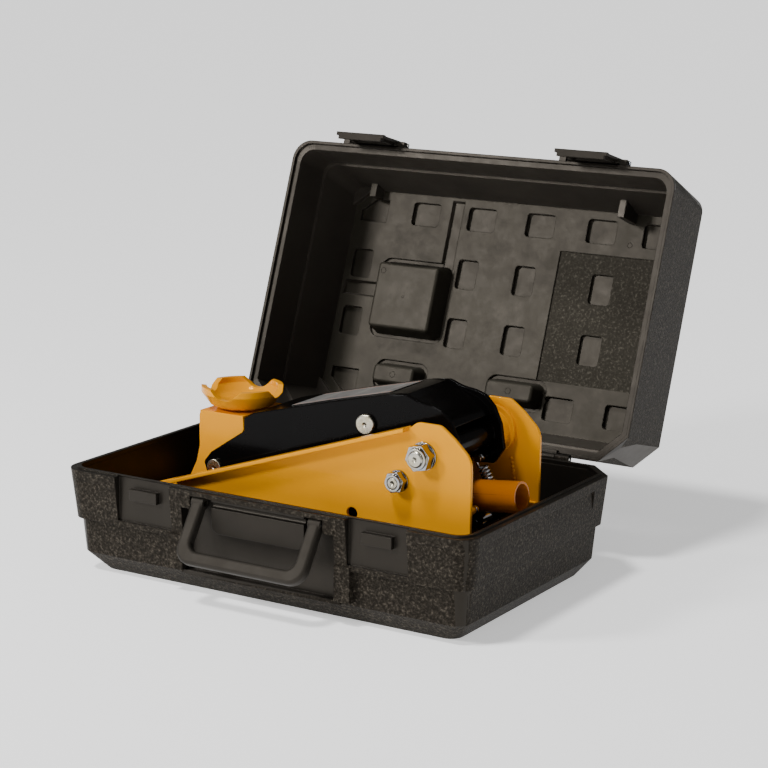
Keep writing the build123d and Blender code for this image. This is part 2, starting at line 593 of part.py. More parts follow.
# ---------------------------------------------------------------- rear cross plate, casters
with BuildPart() as rear_cross_plate:
    box(150, 202, YC - PLATE_OUT + PLATE_T, YC + PLATE_OUT - PLATE_T, CROSS_Z, CROSS_Z + 4)
    box(140, 195, YC - 30, YC + 30, CROSS_Z - 1, CROSS_Z + 5, mode=Mode.SUBTRACT)
    for side in (-1, 1):
        rod_z(CASTER_X, YC + side * CASTER_Y, 5 + FIT, CROSS_Z - 1, CROSS_Z + 5, mode=Mode.SUBTRACT)
save(rear_cross_plate, "rear_cross_plate")

KING_TOP = CROSS_Z + 12
FORK_TOP = CROSS_Z - 2.2
with BuildPart() as kingpins:
    for side in (-1, 1):
        y = YC + side * CASTER_Y
        rod_z(CASTER_X, y, 5, FORK_TOP - 6.4, CROSS_Z + 10)
        rod_z(CASTER_X, y, 8, FORK_TOP - 6.4, FORK_TOP - 4.3)
        with BuildSketch(Plane.XY.offset(CROSS_Z + 4)) as king_nut:
            with Locations((CASTER_X, y)):
                RegularPolygon(8, 6, major_radius=False)
        extrude(king_nut.sketch, amount=5)
save(kingpins, "kingpins")

caster_x = CASTER_X - CASTER_TRAIL
caster_z = GROUND + 0.3 + CASTER_R
for side, tag in ((-1, "near"), (1, "far")):
    y = YC + side * CASTER_Y
    with BuildPart() as fork:
        box(caster_x - 9, CASTER_X + 11, y - 13, y + 13, FORK_TOP - 4, FORK_TOP)
        rod_z(CASTER_X, y, 11, FORK_TOP, FORK_TOP + 1.2)
        for cheek in (-1, 1):
            c0, c1 = sorted((y + cheek * 10.5, y + cheek * 13))
            slab(((caster_x - 9, caster_z - 7), (caster_x + 9, caster_z - 7), (CASTER_X + 11, FORK_TOP),
                  (caster_x - 9, FORK_TOP)), xz(c1), c1 - c0)
        rod_z(CASTER_X, y, 5.1, FORK_TOP - 6, FORK_TOP + 3, mode=Mode.SUBTRACT)
        rod_y((caster_x, caster_z), 4 + FIT, y - 15, y + 15, mode=Mode.SUBTRACT)
    save(fork, f"caster_fork_{tag}")
    with BuildPart() as caster_axle:
        rod_y((caster_x, caster_z), 4, y - 14, y + 14)
        rod_y((caster_x, caster_z), 6, y - 15.6, y - 13)
        rod_y((caster_x, caster_z), 6, y + 13, y + 15.6)
    save(caster_axle, f"caster_axle_{tag}")
    with BuildPart() as caster_wheel:
        rod_y((caster_x, caster_z), CASTER_R, y - 9, y + 9)
        chamfer(caster_wheel.edges().filter_by(GeomType.CIRCLE), 1.5)
        for y_cut in (y - 9, y + 6.5):
            rod_y((caster_x, caster_z), 14, y_cut, y_cut + 2.5, mode=Mode.SUBTRACT)
            rod_y((caster_x, caster_z), 8, y_cut, y_cut + 2.5)
        rod_y((caster_x, caster_z), 4.3, y - 12, y + 12, mode=Mode.SUBTRACT)
    save(caster_wheel, f"caster_wheel_{tag}")

# ---------------------------------------------------------------- power unit
CYL_R = 21.0
BORE_R = 12.3
ROD_R = 12.0
head_at = RAM_ROLLER_R + RAM_GAP          # ram head face, measured down from the ram pin
cyl_axis = (-RAM_DIR[0], -RAM_DIR[1])


def along_ram(t):
    """Point at distance t from the ram pin, down the cylinder axis."""
    return (P[0] + cyl_axis[0] * t, YC, P[1] + cyl_axis[1] * t)


def ram_bar(radius, t0, t1, mode=Mode.ADD):
    """Round bar on the cylinder axis between two distances from the ram pin."""
    seat = Plane(origin=along_ram(t0), x_dir=(0, 1, 0), z_dir=(cyl_axis[0], 0, cyl_axis[1]))
    with Locations(seat):
        Cylinder(radius, t1 - t0, align=(Align.CENTER, Align.CENTER, Align.MIN), mode=mode)


with BuildPart() as power_unit_block:
    box(-14, 142, YC - 30, YC + 30, BLOCK_Z0, BLOCK_Z1)
    chamfer(power_unit_block.edges().filter_by(Axis.Z), 6)
    box(135, 192, YC - 16, YC + 16, TAIL_Z0, BLOCK_Z1 - 8)
    # Bolts to the side plates
    for x in (0.0, 110.0):
        rod_y((x, 69.0), 9, YC - PLATE_OUT + PLATE_T, YC + PLATE_OUT - PLATE_T)
    for x in (0.0, 110.0):
        rod_y((x, 69.0), 4 + FIT, YC - PLATE_OUT, YC + PLATE_OUT, mode=Mode.SUBTRACT)
    # Lugs for the handle socket
    for y0, y1 in both_sides(19.5, 26):
        slab(((128, 74), (128, 84), (F[0] - 9, F[1] + 4), (F[0] - 5, F[1] + 9), (F[0] + 5, F[1] + 9),
              (F[0] + 9, F[1] + 4), (F[0] + 9, 86), (148, 83), (142, 76), (142, 74)), xz(y1), y1 - y0)
    rod_y(F, 5 + FIT, YC - 30, YC + 30, mode=Mode.SUBTRACT)
    # Seat of the pump cylinder and of the release valve
    rod_z(PUMP_X, YC, 7, TAIL_Z0 + 3, BLOCK_Z1, mode=Mode.SUBTRACT)
    rod_x(YC - 12, VALVE_Z, 4 + 0.1, 186, 195, mode=Mode.SUBTRACT)
save(power_unit_block, "power_unit_block")

with BuildPart() as block_bolts:
    for x in (0.0, 110.0):
        rod_y((x, 69.0), 4, YC - PLATE_OUT - 3, YC + PLATE_OUT + 3)
        for side in (-1, 1):
            h0, h1 = sorted((YC + side * PLATE_OUT, YC + side * (PLATE_OUT + 5.3)))
            hex_y((x, 69.0), 13, h0, h1)
save(block_bolts, "block_bolts")

with BuildPart() as ram_cylinder:
    ram_bar(CYL_R, 32, 150)
    box(-120, 120, YC - 60, YC + 60, -60, BLOCK_Z1, mode=Mode.SUBTRACT)
    ram_bar(BORE_R, 20, 108, mode=Mode.SUBTRACT)
save(ram_cylinder, "ram_cylinder")

with BuildPart() as gland_nut:
    seat = Plane(origin=along_ram(23), x_dir=(0, 1, 0), z_dir=(cyl_axis[0], 0, cyl_axis[1]))
    with BuildSketch(seat) as gland_face:
        RegularPolygon(19, 8, major_radius=False)
        Circle(ROD_R + 0.35, mode=Mode.SUBTRACT)
    extrude(gland_face.sketch, amount=9)
save(gland_nut, "gland_nut")

with BuildPart() as reservoir:
    box(42, 126, YC - 27, YC + 27, BLOCK_Z1, 112)
    chamfer(reservoir.edges().filter_by(Axis.X), 8)
    ram_bar(CYL_R + 0.6, 10, 150, mode=Mode.SUBTRACT)
    rod_z(104, YC, 6, 106, 114, mode=Mode.SUBTRACT)
save(reservoir, "reservoir")

with BuildPart() as filler_plug:
    rod_z(104, YC, 6, 106, 112)
    rod_z(104, YC, 8.5, 112, 116)
    box(98, 110, YC - 1, YC + 1, 114.5, 117, mode=Mode.SUBTRACT)
save(filler_plug, "filler_plug")

with BuildPart() as pump_cylinder:
    rod_z(PUMP_X, YC, 7, TAIL_Z0 + 3, BLOCK_Z1 - 8)
    with BuildSketch(Plane.XY.offset(BLOCK_Z1 - 8)) as pump_hex:
        with Locations((PUMP_X, YC)):
            RegularPolygon(9.5, 6, major_radius=False)
    extrude(pump_hex.sketch, amount=3)
    rod_z(PUMP_X, YC, 4.3, TAIL_Z0 + 5, 90, mode=Mode.SUBTRACT)
save(pump_cylinder, "pump_cylinder")

with BuildPart() as pump_plunger:
    cap_top = ROLLER_Z - ROLLER_R - 0.4
    rod_z(PUMP_X, YC, 4, TAIL_Z0 + 7, cap_top - 3)
    rod_z(PUMP_X, YC, 8, cap_top - 3, cap_top)
    chamfer(pump_plunger.faces().sort_by(Axis.Z)[-1].edges(), 0.8)
save(pump_plunger, "pump_plunger")

with BuildPart() as pump_spring:
    for k in range(3):
        with BuildSketch(Plane(origin=(PUMP_X, YC, BLOCK_Z1 - 4.0 + k * 1.55), x_dir=(1, 0, 0),
                               z_dir=(0, -1, 0))) as wire:
            with Locations((6.6, 0)):
                Circle(0.8)
        revolve(wire.sketch, axis=Axis((PUMP_X, YC, 0), (0, 0, 1)))
save(pump_spring, "pump_spring")

with BuildPart() as release_valve:
    rod_x(YC - 12, VALVE_Z, 4, 186.5, 200)
    with BuildSketch(yz(196)) as valve_head:
        with Locations((YC - 12, VALVE_Z)):
            RegularPolygon(6.5, 6, major_radius=False)
    extrude(valve_head.sketch, amount=6)
save(release_valve, "release_valve")

# ---------------------------------------------------------------- ram
with BuildPart() as ram_rod:
    ram_bar(ROD_R, head_at + 6, 104)
save(ram_rod, "ram_rod")

with BuildPart() as ram_head:
    ram_bar(15, head_at, head_at + 6)
    chamfer(ram_head.edges().filter_by(GeomType.CIRCLE), 1)
save(ram_head, "ram_head")

# ---------------------------------------------------------------- lift arm
WEB_LINE = (
    (-122, 95), (-105, 91), (40, 146), (110, 152), (133, 142), (148, 133), (166, 134), (177, 150),
    (173, 175), (165, 192), (155, 202), (143, 206), (128, 208), (114, 213), (92, 210.5), (27, 195),
    (-66, 171), (-77, 164), (-77, 151), (-119, 123), (-128, 112),
)
web_sides = both_sides(WEB_OUT - WEB_T, WEB_OUT)
with BuildPart() as lift_arm:
    for y0, y1 in web_sides:
        slab(WEB_LINE, xz(y1), y1 - y0)
    outer = lift_arm.edges().filter_by(Axis.Y)
    fillet([e for e in outer if e.center().X < -100 or e.center().X > 130], 4)
    # Top plate, bent down behind the hump
    y_top = YC + WEB_OUT - WEB_T
    top_line = ((-66, 171), (27, 195), (92, 210.5), (113, 213), (113, 208.4), (93, 206),
                (28, 190.4), (-65, 166.5))
    slab(top_line, xz(y_top), 2 * (WEB_OUT - WEB_T))
    rear_line = ((113, 213), (121, 208), (146, 199), (157, 191), (161.5, 184), (157.8, 181.6),
                 (154, 187.4), (144, 195), (119, 204), (113, 208.4))
    slab(rear_line, xz(y_top), 2 * (WEB_OUT - WEB_T))
    # Pivot tube and bosses
    rod_y(A, 15, YC - WEB_OUT - 1, YC + WEB_OUT + 1)
    rod_y(A, SHAFT_R + FIT, YC - 60, YC + 60, mode=Mode.SUBTRACT)
    rod_y(P, RAM_PIN_R, YC - 60, YC + 60, mode=Mode.SUBTRACT)
    rod_y(B, ANCHOR_R, YC - 60, YC + 60, mode=Mode.SUBTRACT)
    rod_y(S, 4, YC - 60, YC + 60, mode=Mode.SUBTRACT)
save(lift_arm, "lift_arm")

with BuildPart() as ram_pin:
    rod_y(P, RAM_PIN_R, YC - WEB_OUT - 1, YC + WEB_OUT + 1)
    for side in (-1, 1):
        h0, h1 = sorted((YC + side * WEB_OUT, YC + side * (WEB_OUT + 4.5)))
        rod_y(P, 10.5, h0, h1)
    chamfer(ram_pin.faces().filter_by(Axis.Y).sort_by(Axis.Y)[0].edges(), 1)
    chamfer(ram_pin.faces().filter_by(Axis.Y).sort_by(Axis.Y)[-1].edges(), 1)
save(ram_pin, "ram_pin")

with BuildPart() as ram_roller:
    rod_y(P, RAM_ROLLER_R, YC - 16, YC + 16)
    rod_y(P, RAM_PIN_R, YC - 20, YC + 20, mode=Mode.SUBTRACT)
save(ram_roller, "ram_roller")

with BuildPart() as spring_hanger:
    for side in (-1, 1):
        for r, near, far in ((4, SPRING_DY + 2, WEB_OUT - 0.5), (2.6, SPRING_DY - 2, SPRING_DY + 2),
                             (4, SPRING_DY - 4, SPRING_DY - 2)):
            s0, s1 = sorted((YC + side * near, YC + side * far))
            rod_y(S, r, s0, s1)
save(spring_hanger, "spring_hanger")

with BuildPart() as front_pin:
    rod_y(B, ANCHOR_R, YC - WEB_OUT - 1, YC + WEB_OUT + 1)
    for side in (-1, 1):
        h0, h1 = sorted((YC + side * WEB_OUT, YC + side * (WEB_OUT + 4)))
        rod_y(B, 8.5, h0, h1)
save(front_pin, "front_pin")

with BuildPart() as arm_label:
    slope = (210.5 - 195) / (92 - 27)
    lean = hypot(1, slope)
    slab(((-28, 195 - 55 * slope * 1.04), (26, 195.2), (88, 209.9), (88, 210.2), (26, 195.5),
          (-28, 195.3 - 55 * slope * 1.04)), xz(YC + 31), 62)
    slab(WEB_LINE, xz(YC + 40), 80, mode=Mode.SUBTRACT)
save(arm_label, "arm_label")

# ---------------------------------------------------------------- saddle bracket, links
BRACKET_LINE = (
    (-138, SADDLE_Z), (-85, SADDLE_Z + 0.0), (-84, 150), (-98, 122), (-99, 98), (-124, 90),
    (-128, 66), (-152, 66), (-156, 84), (-144, 108), (-140, 125), (-140, 158),
)
with BuildPart() as saddle_bracket:
    for y0, y1 in both_sides(31, 36):
        slab(BRACKET_LINE, xz(y1), y1 - y0)
    fillet([e for e in saddle_bracket.edges().filter_by(Axis.Y) if e.center().Z < 150], 4)
    box(-139, -85, YC - 36, YC + 36, SADDLE_Z - 6, SADDLE_Z)
    box(-140, -135, YC - 31, YC + 31, 128, SADDLE_Z - 6)
    rod_z(SADDLE_X, YC, 16, SADDLE_Z - 20, SADDLE_Z - 6)
    rod_z(SADDLE_X, YC, 9.1, SADDLE_Z - 22, SADDLE_Z + 2, mode=Mode.SUBTRACT)
    # Sleeves on the two pins
    rod_y(B, 11, YC - 39.7, YC + 39.7)
    rod_y(D, 10, YC - 38, YC + 38)
    rod_y(B, ANCHOR_R + FIT, YC - 60, YC + 60, mode=Mode.SUBTRACT)
    rod_y(D, 5, YC - 60, YC + 60, mode=Mode.SUBTRACT)
save(saddle_bracket, "saddle_bracket")

with BuildPart() as link_pin:
    rod_y(D, 5, YC - LINK_Y - LINK_T - 1.2, YC + LINK_Y + LINK_T + 1.2)
    for side in (-1, 1):
        h0, h1 = sorted((YC + side * (LINK_Y + LINK_T + 1.2), YC + side * (LINK_Y + LINK_T + 4)))
        rod_y(D, 8, h0, h1)
        s0, s1 = sorted((YC + side * 38, YC + side * (LINK_Y - 0.4)))
        rod_y(D, 7.5, s0, s1)
save(link_pin, "link_pin")

link_dx = D[0] - C[0]
link_dz = D[1] - C[1]
link_len = hypot(link_dx, link_dz)
for (y0, y1), name in zip(both_sides(LINK_Y, LINK_Y + LINK_T), ("link_near", "link_far")):
    with BuildPart() as link:
        middle = ((C[0] + D[0]) / 2, (C[1] + D[1]) / 2)
        with BuildSketch(xz(y1)) as strap:
            with Locations(Location(middle, degrees(atan2(link_dz, link_dx)))):
                SlotCenterToCenter(link_len, 18)
            with Locations(C):
                Circle(ANCHOR_R + FIT, mode=Mode.SUBTRACT)
            with Locations(D):
                Circle(5 + FIT, mode=Mode.SUBTRACT)
        extrude(strap.sketch, amount=y1 - y0)
    save(link, name)

# ---------------------------------------------------------------- saddle
with BuildPart() as saddle:
    with BuildSketch(Plane(origin=(SADDLE_X, YC, 0), x_dir=(1, 0, 0), z_dir=(0, -1, 0))) as cup:
        z0 = SADDLE_Z + 0.3
        with BuildLine():
            Polyline((0, z0), (24, z0), (34, z0 + 5), (42.5, z0 + 17), (42.5, z0 + 23.5), (37, z0 + 23.5),
                     (36.5, z0 + 18), (30, z0 + 10), (22, z0 + 6), (0, z0 + 6), close=True)
        make_face()
    revolve(cup.sketch, axis=Axis((SADDLE_X, YC, 0), (0, 0, 1)))
    # Notches between the lobes
    for k in range(4):
        angle = radians(8 + 90 * k)
        notch = Plane(origin=(SADDLE_X, YC, SADDLE_Z + 23.8), x_dir=(-sin(angle), cos(angle), 0),
                      z_dir=(cos(angle), sin(angle), 0))
        with BuildSketch(notch) as gap:
            with BuildLine():
                Spline((-17, -0.3), (-12, -4.8), (-6, -8.9), (6, -8.9), (12, -4.8), (17, -0.3))
                Polyline((17, -0.3), (20, 4), (-20, 4), (-17, -0.3))
            make_face()
        extrude(gap.sketch, amount=60, mode=Mode.SUBTRACT)
    # Inner centring boss and pivot
    cone_z(SADDLE_X, YC, 11, 8, SADDLE_Z + 5, SADDLE_Z + 11)
    rod_z(SADDLE_X, YC, 9, SADDLE_Z - 22, SADDLE_Z + 2)
save(saddle, "saddle")

with BuildPart() as saddle_clip:
    rod_z(SADDLE_X, YC, 13, SADDLE_Z - 22, SADDLE_Z - 20.3)
    rod_z(SADDLE_X, YC, 9, SADDLE_Z - 30, SADDLE_Z, mode=Mode.SUBTRACT)
save(saddle_clip, "saddle_clip")

# ---------------------------------------------------------------- handle socket
tube_start = 52.0
sock_c = cos(radians(SOCKET_TILT))
sock_s = sin(radians(SOCKET_TILT))
SOCKET = Plane(origin=(SOCKET_END[0], YC, SOCKET_END[1]), x_dir=(0, 1, 0),
               z_dir=(-sock_c, 0, -sock_s))
with BuildPart() as handle_socket:
    with Locations(SOCKET):
        Cylinder(SOCKET_R, tube_start, align=(Align.CENTER, Align.CENTER, Align.MIN))
    # Cheeks that run down to the fulcrum and the roller
    for y0, y1 in both_sides(13.5, 17.5):
        slab(((F[0] - 8, F[1] - 4), (F[0] - 4, F[1] - 8), (F[0] + 14, ROLLER_Z - 6), (F[0] + 26, ROLLER_Z - 5),
              (F[0] + 28, 92), (F[0] + 24, 98), (F[0] + 13, 103), (F[0] + 12, 116), (F[0] + 4, 112),
              (F[0] - 8, F[1] + 5)), xz(y1), y1 - y0)
    with Locations(SOCKET):
        Cylinder(SOCKET_BORE, 46, align=(Align.CENTER, Align.CENTER, Align.MIN), mode=Mode.SUBTRACT)
    rod_y(F, 5 + FIT, YC - 30, YC + 30, mode=Mode.SUBTRACT)
    rod_y((PUMP_X, ROLLER_Z), 3, YC - 30, YC + 30, mode=Mode.SUBTRACT)
save(handle_socket, "handle_socket")

with BuildPart() as socket_pin:
    rod_y(F, 5, YC - 27.5, YC + 27.5)
    for side in (-1, 1):
        h0, h1 = sorted((YC + side * 26, YC + side * 28.5))
        rod_y(F, 7.5, h0, h1)
save(socket_pin, "socket_pin")

with BuildPart() as pump_roller:
    rod_y((PUMP_X, ROLLER_Z), 3, YC - 18, YC + 18)
    rod_y((PUMP_X, ROLLER_Z), ROLLER_R, YC - 10, YC + 10)
save(pump_roller, "pump_roller")

# ---------------------------------------------------------------- return springs
spring_dx = T[0] - S[0]
spring_dz = T[1] - S[1]
spring_len = hypot(spring_dx, spring_dz)
ux = spring_dx / spring_len
uz = spring_dz / spring_len
with BuildPart() as return_springs:
    for side in (-1, 1):
        y = YC + side * SPRING_DY
        coil0 = Plane(origin=(S[0] + ux * 9, y, S[1] + uz * 9), x_dir=(0, 1, 0), z_dir=(ux, 0, uz))
        coil_len = spring_len - 18
        with Locations(coil0):
            Cylinder(SPRING_R, coil_len, align=(Align.CENTER, Align.CENTER, Align.MIN))
            Cylinder(SPRING_R - 2, coil_len, align=(Align.CENTER, Align.CENTER, Align.MIN),
                     mode=Mode.SUBTRACT)
            Cylinder(SPRING_R - 0.5, 2, align=(Align.CENTER, Align.CENTER, Align.MIN))
        with Locations(coil0.offset(coil_len - 2)):
            Cylinder(SPRING_R - 0.5, 2, align=(Align.CENTER, Align.CENTER, Align.MIN))
        # Hooks around the hanger and the stud
        for centre, away in ((S, 1), (T, -1)):
            rod_y(centre, 5.0, y - 1.0, y + 1.0)
            rod_y(centre, 2.9, y - 1.0, y + 1.0, mode=Mode.SUBTRACT)
            stem = Plane(origin=(centre[0] + away * ux * 4, y, centre[1] + away * uz * 4),
                         x_dir=(0, 1, 0), z_dir=(away * ux, 0, away * uz))
            with Locations(stem):
                Cylinder(1.0, 5.5, align=(Align.CENTER, Align.CENTER, Align.MIN))
save(return_springs, "return_springs")
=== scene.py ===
import json
import math

import bmesh
import bpy
from mathutils import Matrix, Vector


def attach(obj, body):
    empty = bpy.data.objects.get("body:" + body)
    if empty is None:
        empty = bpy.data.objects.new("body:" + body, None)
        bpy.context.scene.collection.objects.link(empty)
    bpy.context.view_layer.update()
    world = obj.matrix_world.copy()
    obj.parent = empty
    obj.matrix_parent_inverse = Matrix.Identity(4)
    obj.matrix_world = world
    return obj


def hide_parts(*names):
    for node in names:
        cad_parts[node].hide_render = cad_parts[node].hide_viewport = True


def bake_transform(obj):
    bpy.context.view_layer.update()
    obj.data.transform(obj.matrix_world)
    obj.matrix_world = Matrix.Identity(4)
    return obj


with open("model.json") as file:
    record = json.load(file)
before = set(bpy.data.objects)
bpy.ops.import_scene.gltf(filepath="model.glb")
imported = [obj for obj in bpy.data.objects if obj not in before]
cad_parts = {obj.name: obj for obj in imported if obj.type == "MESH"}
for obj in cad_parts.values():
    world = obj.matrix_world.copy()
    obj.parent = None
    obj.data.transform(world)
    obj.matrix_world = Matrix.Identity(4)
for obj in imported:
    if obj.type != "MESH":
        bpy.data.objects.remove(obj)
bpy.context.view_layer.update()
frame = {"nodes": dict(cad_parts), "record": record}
NODES = frame["nodes"]


# Driving dimensions of the CAD part, in metres
YC = -0.020
A = (0.151, 0.163)
C = (0.1235, 0.1345)
S = (0.158, 0.142)
T = (0.180, 0.103)
B = (-0.113, 0.108)
P = (0.070, 0.178)
D = (-0.1405, 0.0795)
SPRING_DY = 0.024
PUMP = (0.178, -0.020)
HINGE = Vector((0, 0.1615, 0.109))
LID_TILT = math.radians(20.14)
LID_UP = Vector((0, math.sin(LID_TILT), math.cos(LID_TILT)))
LID_OUT = Vector((0, math.cos(LID_TILT), -math.sin(LID_TILT)))


# ------------------------------------------------------------------ materials
class Shader:
    """A small helper for building one Principled material whose edges look slightly rounded."""

    def __init__(self, name, edge=0.0008):
        self.edge = edge
        self.mat = bpy.data.materials.new(name)
        self.mat.use_nodes = True
        self.tree = self.mat.node_tree
        self.bsdf = self.tree.nodes["Principled BSDF"]
        self.coord = self.tree.nodes.new("ShaderNodeTexCoord").outputs["Object"]

    def put(self, socket, value):
        """A number, a colour or another node's output."""
        if isinstance(value, bpy.types.NodeSocket):
            self.tree.links.new(value, socket)
        else:
            socket.default_value = value

    def set(self, **values):
        """Principled inputs by name."""
        for key, value in values.items():
            self.put(self.bsdf.inputs[key.replace("_", " ")], value)
        return self

    def noise(self, scale, detail=3.0, rough=0.5):
        node = self.tree.nodes.new("ShaderNodeTexNoise")
        self.put(node.inputs["Vector"], self.coord)
        node.inputs["Scale"].default_value = scale
        node.inputs["Detail"].default_value = detail
        node.inputs["Roughness"].default_value = rough
        return node.outputs["Fac"]

    def remap(self, value, low, high, to_low, to_high):
        node = self.tree.nodes.new("ShaderNodeMapRange")
        self.put(node.inputs["Value"], value)
        for key, number in zip(("From Min", "From Max", "To Min", "To Max"), (low, high, to_low, to_high)):
            node.inputs[key].default_value = number
        return node.outputs["Result"]

    def ramp(self, value, stops):
        """Colour ramp through (position, (r, g, b)) stops."""
        node = self.tree.nodes.new("ShaderNodeValToRGB")
        self.put(node.inputs["Fac"], value)
        elements = node.color_ramp.elements
        while len(elements) < len(stops):
            elements.new(0.5)
        for element, (place, colour) in zip(elements, stops):
            element.position = place
            element.color = (*colour, 1.0)
        return node.outputs["Color"]

    def maths(self, kind, a, b=0.0):
        node = self.tree.nodes.new("ShaderNodeMath")
        node.operation = kind
        self.put(node.inputs[0], a)
        self.put(node.inputs[1], b)
        return node.outputs["Value"]

    def axis(self, name):
        node = self.tree.nodes.new("ShaderNodeSeparateXYZ")
        self.put(node.inputs["Vector"], self.coord)
        return node.outputs[name]

    def bump(self, *layers):
        """Stack of (height, distance in metres, strength) bumps, the finest last."""
        edge = self.tree.nodes.new("ShaderNodeBevel")
        edge.samples = 4
        edge.inputs["Radius"].default_value = self.edge
        normal = edge.outputs["Normal"]
        for height, distance, strength in layers:
            node = self.tree.nodes.new("ShaderNodeBump")
            self.put(node.inputs["Height"], height)
            node.inputs["Distance"].default_value = distance
            node.inputs["Strength"].default_value = strength
            self.put(node.inputs["Normal"], normal)
            normal = node.outputs["Normal"]
        self.put(self.bsdf.inputs["Normal"], normal)
        return self


def plastic_grain(name, dark, light, rough, depth):
    """Moulded plastic with a coarse pebble grain."""
    s = Shader(name, edge=0.0014)
    pebbles = s.noise(360.0, 4.0, 0.66)
    flecks = s.noise(1000.0, 2.0, 0.5)
    shade = s.remap(pebbles, 0.42, 0.66, 0.0, 1.0)
    s.set(Base_Color=s.ramp(shade, ((0.0, dark), (0.6, light), (1.0, tuple(c * 2.6 for c in light)))))
    s.set(Roughness=s.remap(flecks, 0.3, 0.7, rough - 0.08, rough + 0.1))
    s.set(Specular_IOR_Level=0.07, Specular_Tint=(1.0, 0.86, 0.7, 1.0))
    s.bump((s.noise(9.0, 2.0), 0.0012, 0.15), (pebbles, depth, 0.9), (flecks, depth * 0.3, 0.5))
    return s.mat


def plastic_smooth(name, dark, light, rough):
    """The same plastic where the mould is polished, with faint scuffs."""
    s = Shader(name, edge=0.0014)
    cloud = s.noise(14.0, 5.0, 0.6)
    s.set(Base_Color=s.ramp(cloud, ((0.3, dark), (0.7, light))))
    s.set(Specular_IOR_Level=0.24, Specular_Tint=(1.0, 0.88, 0.74, 1.0))
    scuff = s.noise(45.0, 6.0, 0.75)
    s.set(Roughness=s.remap(scuff, 0.3, 0.75, rough - 0.03, rough + 0.1))
    s.bump((s.noise(22.0, 2.0), 0.0006, 0.25), (scuff, 0.00005, 0.3), (s.noise(900.0, 2.0), 0.00004, 0.35))
    return s.mat


def powder_paint(name, colour, shade, rough, specular=0.4, edge=0.0012, coat=0.05, tint=(1, 1, 1, 1)):
    """Gloss powder coat with a light orange peel."""
    s = Shader(name, edge)
    cloud = s.noise(18.0, 4.0, 0.55)
    s.set(Base_Color=s.ramp(cloud, ((0.25, shade), (0.7, colour))))
    s.set(Roughness=s.remap(s.noise(35.0, 4.0), 0.3, 0.7, rough, rough + 0.1))
    s.set(Coat_Weight=coat, Coat_Roughness=0.06, Specular_IOR_Level=specular, Specular_Tint=tint)
    s.bump((s.noise(260.0, 2.0), 0.00012, 0.35), (s.noise(28.0, 2.0), 0.0006, 0.12))
    return s.mat


def plated(name, tints, rough):
    """Zinc plate with a patchy yellow and blue passivation."""
    s = Shader(name)
    s.set(Base_Color=s.ramp(s.noise(75.0, 3.0), tints))
    s.set(Metallic=1.0)
    s.set(Roughness=s.remap(s.noise(420.0, 4.0), 0.3, 0.7, rough, rough + 0.12))
    s.bump((s.noise(500.0, 3.0), 0.00004, 0.4),)
    return s.mat


GRAIN = plastic_grain("case_grain", (0.0095, 0.0080, 0.0062), (0.025, 0.0212, 0.0165), 0.5, 0.0006)
SMOOTH = plastic_smooth("case_smooth", (0.0085, 0.0074, 0.006), (0.0125, 0.011, 0.009), 0.36)
# Lighter copy of the smooth plastic for the lid's inner walls: painted light, standing in for light that
# does not reach them.
WALL_PAINTED_LIGHT = plastic_smooth("case_wall_painted_light", (0.030, 0.026, 0.022), (0.040, 0.035, 0.029), 0.3)
PANEL = plastic_smooth("case_panel", (0.0225, 0.0205, 0.0155), (0.0275, 0.025, 0.019), 0.42)
FIELD = plastic_grain("case_field", (0.022, 0.020, 0.0155), (0.034, 0.031, 0.0245), 0.46, 0.0002)
HANDLE = plastic_smooth("case_handle", (0.0125, 0.011, 0.009), (0.017, 0.015, 0.0125), 0.55)
POCKET = plastic_smooth("case_pocket", (0.020, 0.018, 0.0135), (0.025, 0.0225, 0.0175), 0.4)
# The yellow paints reflect in their own colour, which keeps them from looking chalky
AMBER = (1.0, 0.42, 0.05, 1.0)
YELLOW = powder_paint("yellow_paint", (0.80, 0.325, 0.001), (0.75, 0.30, 0.0008), 0.12, 0.3, tint=AMBER)
BLACK = powder_paint("black_paint", (0.0026, 0.0022, 0.0022), (0.0018, 0.0016, 0.0016), 0.1, 0.05,
                     edge=0.0018, coat=0.03)
SOCKET = powder_paint("socket_paint", (0.50, 0.15, 0.001), (0.44, 0.12, 0.0008), 0.2, 0.3, tint=AMBER)
ZINC = plated("zinc_steel",
              ((0.25, (0.32, 0.28, 0.19)), (0.5, (0.36, 0.35, 0.32)), (0.75, (0.27, 0.31, 0.38))), 0.06)
CHROME = plated("hard_steel",
                ((0.3, (0.72, 0.72, 0.74)), (0.5, (0.78, 0.78, 0.8)), (0.7, (0.74, 0.74, 0.77))), 0.08)
SPRING = plated("spring_steel",
                ((0.3, (0.50, 0.50, 0.50)), (0.5, (0.58, 0.58, 0.58)), (0.7, (0.52, 0.53, 0.55))), 0.16)
WHEEL = powder_paint("wheel_paint", (0.014, 0.014, 0.015), (0.009, 0.009, 0.010), 0.4)
RUBBER = plastic_grain("grip_rubber", (0.010, 0.010, 0.010), (0.020, 0.020, 0.020), 0.72, 0.0002)


